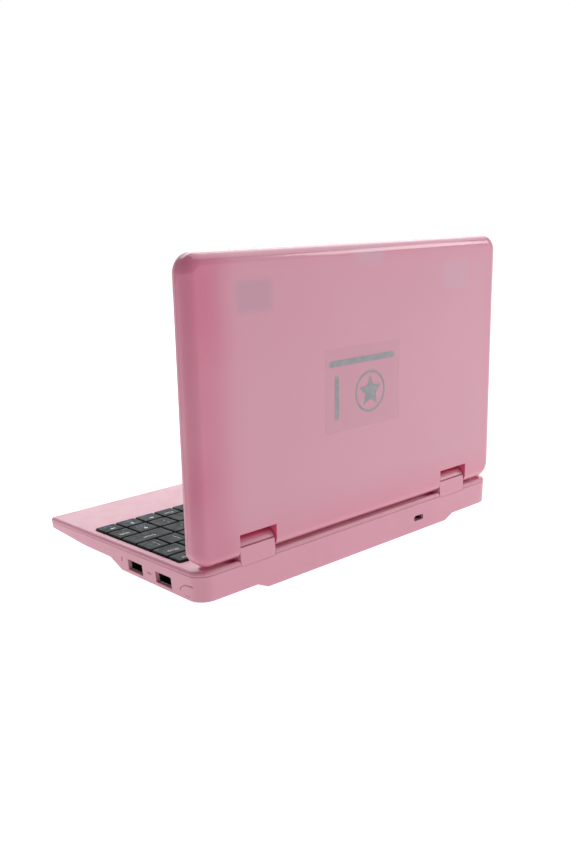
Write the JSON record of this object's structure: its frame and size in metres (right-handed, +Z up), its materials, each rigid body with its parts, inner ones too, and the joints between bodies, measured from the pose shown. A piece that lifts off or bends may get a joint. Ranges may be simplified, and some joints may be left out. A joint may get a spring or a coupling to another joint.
{
  "type": "toy laptop computer",
  "caption": "Small pink toy laptop, open, with a hinged glossy lid, sprung black keys, touchpad, side sockets and a wedge-shaped base on rubber feet.",
  "frame": {"origin": "on the surface the feet stand on, under the middle of the open laptop's bounding box", "axes": "+Z up, +X to the user's right along the hinge line, +Y away from the user towards the lid"},
  "size_m": [0.213, 0.1542, 0.1605],
  "materials": {
    "pink_shell": "satin light pink injection-moulded plastic",
    "pink_bezel": "satin light pink injection-moulded plastic",
    "pink_gloss": "glossy, slightly see-through deeper pink plastic",
    "key_plastic": "fine matt charcoal plastic with printed key legends",
    "black_plastic": "matt black plastic",
    "rubber": "dull black rubber",
    "steel": "zinc-plated pressed steel",
    "socket_metal": "thin plated sheet metal, slightly gold",
    "silver_plastic": "silver-painted plastic",
    "circuit_board": "green solder mask",
    "battery_pouch": "blue film over an aluminium pouch",
    "antenna_foil": "thin brass foil",
    "display_unit": "display stack in a dull metal frame",
    "screen_glass": "dark satin display surface, switched off",
    "light_pipe": "clear milky plastic"
  },
  "bodies": {
    "base": {"battery_pack": "battery_pouch", "bottom_case": "pink_shell", "card_slot": "socket_metal", "case_screw_front_left": "steel", "case_screw_front_right": "steel", "case_screw_rear_left": "steel", "case_screw_rear_right": "steel", "foot_front_left": "rubber", "foot_front_right": "rubber", "foot_rear_left": "rubber", "foot_rear_right": "rubber", "hatch_cover": "pink_shell", "headphone_jack": "black_plastic", "hinge_bracket_left": "steel", "hinge_bracket_right": "steel", "indicator_lens": "light_pipe", "keyboard_membrane": "rubber", "keyboard_tray": "black_plastic", "lock_slot_plate": "steel", "mainboard": "circuit_board", "power_jack": "black_plastic", "top_case": "pink_shell", "touchpad": "pink_shell", "usb_socket_front": "socket_metal", "usb_socket_rear": "socket_metal"},
    "lid": {"lid_back_cover": "pink_gloss", "lid_bezel": "pink_bezel", "lcd_panel": "display_unit", "screen_window": "screen_glass", "speaker_left": "black_plastic", "speaker_right": "black_plastic", "webcam": "black_plastic", "antenna_left": "antenna_foil", "antenna_right": "antenna_foil", "hinge_arm_left": "steel", "hinge_arm_right": "steel", "hinge_pin_left": "steel", "hinge_pin_right": "steel", "lid_bumper_left": "rubber", "lid_bumper_right": "rubber"},
    "arrow_down_key": {"arrow_down_key": "key_plastic"},
    "arrow_left_key": {"arrow_left_key": "key_plastic"},
    "arrow_right_key": {"arrow_right_key": "key_plastic"},
    "arrow_up_key": {"arrow_up_key": "key_plastic"},
    "backspace_key": {"backspace_key": "key_plastic"},
    "caps_lock_key": {"caps_lock_key": "key_plastic"},
    "enter_key": {"enter_key": "key_plastic"},
    "key_row_1": {"key_row_1": "key_plastic"},
    "key_row_2": {"key_row_2": "key_plastic"},
    "key_row_3": {"key_row_3": "key_plastic"},
    "key_row_4": {"key_row_4": "key_plastic"},
    "key_row_5": {"key_row_5": "key_plastic"},
    "key_row_6_left": {"key_row_6_left": "key_plastic"},
    "key_row_6_right": {"key_row_6_right": "key_plastic"},
    "shift_left_key": {"shift_left_key": "key_plastic"},
    "shift_right_key": {"shift_right_key": "key_plastic"},
    "space_bar": {"space_bar": "key_plastic"},
    "power_button": {"power_button": "silver_plastic"},
    "touchpad_button_left": {"touchpad_button_left": "pink_shell"},
    "touchpad_button_right": {"touchpad_button_right": "pink_shell"}
  },
  "joints": [
    {"name": "lid_hinge", "type": "hinge", "parent": "base", "child": "lid", "pos_m": [0, 0.06348, 0.0228], "axis": [1, 0, 0], "range_deg": [-40, 93.9]},
    {"name": "arrow_down_press", "type": "slide", "parent": "base", "child": "arrow_down_key", "axis": [0, 0.013, -0.9999], "range_m": [0, 0.0015], "stiffness_N_per_m": 250},
    {"name": "arrow_left_press", "type": "slide", "parent": "base", "child": "arrow_left_key", "axis": [0, 0.013, -0.9999], "range_m": [0, 0.0015], "stiffness_N_per_m": 250},
    {"name": "arrow_right_press", "type": "slide", "parent": "base", "child": "arrow_right_key", "axis": [0, 0.013, -0.9999], "range_m": [0, 0.0015], "stiffness_N_per_m": 250},
    {"name": "arrow_up_press", "type": "slide", "parent": "base", "child": "arrow_up_key", "axis": [0, 0.013, -0.9999], "range_m": [0, 0.0015], "stiffness_N_per_m": 250},
    {"name": "backspace_press", "type": "slide", "parent": "base", "child": "backspace_key", "axis": [0, 0.013, -0.9999], "range_m": [0, 0.0015], "stiffness_N_per_m": 250},
    {"name": "caps_lock_press", "type": "slide", "parent": "base", "child": "caps_lock_key", "axis": [0, 0.013, -0.9999], "range_m": [0, 0.0015], "stiffness_N_per_m": 250},
    {"name": "enter_press", "type": "slide", "parent": "base", "child": "enter_key", "axis": [0, 0.013, -0.9999], "range_m": [0, 0.0015], "stiffness_N_per_m": 250},
    {"name": "key_row_1_press", "type": "slide", "parent": "base", "child": "key_row_1", "axis": [0, 0.013, -0.9999], "range_m": [0, 0.0015], "stiffness_N_per_m": 700},
    {"name": "key_row_2_press", "type": "slide", "parent": "base", "child": "key_row_2", "axis": [0, 0.013, -0.9999], "range_m": [0, 0.0015], "stiffness_N_per_m": 700},
    {"name": "key_row_3_press", "type": "slide", "parent": "base", "child": "key_row_3", "axis": [0, 0.013, -0.9999], "range_m": [0, 0.0015], "stiffness_N_per_m": 700},
    {"name": "key_row_4_press", "type": "slide", "parent": "base", "child": "key_row_4", "axis": [0, 0.013, -0.9999], "range_m": [0, 0.0015], "stiffness_N_per_m": 700},
    {"name": "key_row_5_press", "type": "slide", "parent": "base", "child": "key_row_5", "axis": [0, 0.013, -0.9999], "range_m": [0, 0.0015], "stiffness_N_per_m": 700},
    {"name": "key_row_6_left_press", "type": "slide", "parent": "base", "child": "key_row_6_left", "axis": [0, 0.013, -0.9999], "range_m": [0, 0.0015], "stiffness_N_per_m": 700},
    {"name": "key_row_6_right_press", "type": "slide", "parent": "base", "child": "key_row_6_right", "axis": [0, 0.013, -0.9999], "range_m": [0, 0.0015], "stiffness_N_per_m": 700},
    {"name": "shift_left_press", "type": "slide", "parent": "base", "child": "shift_left_key", "axis": [0, 0.013, -0.9999], "range_m": [0, 0.0015], "stiffness_N_per_m": 250},
    {"name": "shift_right_press", "type": "slide", "parent": "base", "child": "shift_right_key", "axis": [0, 0.013, -0.9999], "range_m": [0, 0.0015], "stiffness_N_per_m": 250},
    {"name": "space_bar_press", "type": "slide", "parent": "base", "child": "space_bar", "axis": [0, 0.013, -0.9999], "range_m": [0, 0.0015], "stiffness_N_per_m": 400},
    {"name": "power_button_press", "type": "slide", "parent": "base", "child": "power_button", "axis": [0, 0.013, -0.9999], "range_m": [0, 0.0005], "stiffness_N_per_m": 900},
    {"name": "touchpad_button_left_press", "type": "slide", "parent": "base", "child": "touchpad_button_left", "axis": [0, 0.013, -0.9999], "range_m": [0, 0.0004], "stiffness_N_per_m": 900},
    {"name": "touchpad_button_right_press", "type": "slide", "parent": "base", "child": "touchpad_button_right", "axis": [0, 0.013, -0.9999], "range_m": [0, 0.0004], "stiffness_N_per_m": 900}
  ]
}
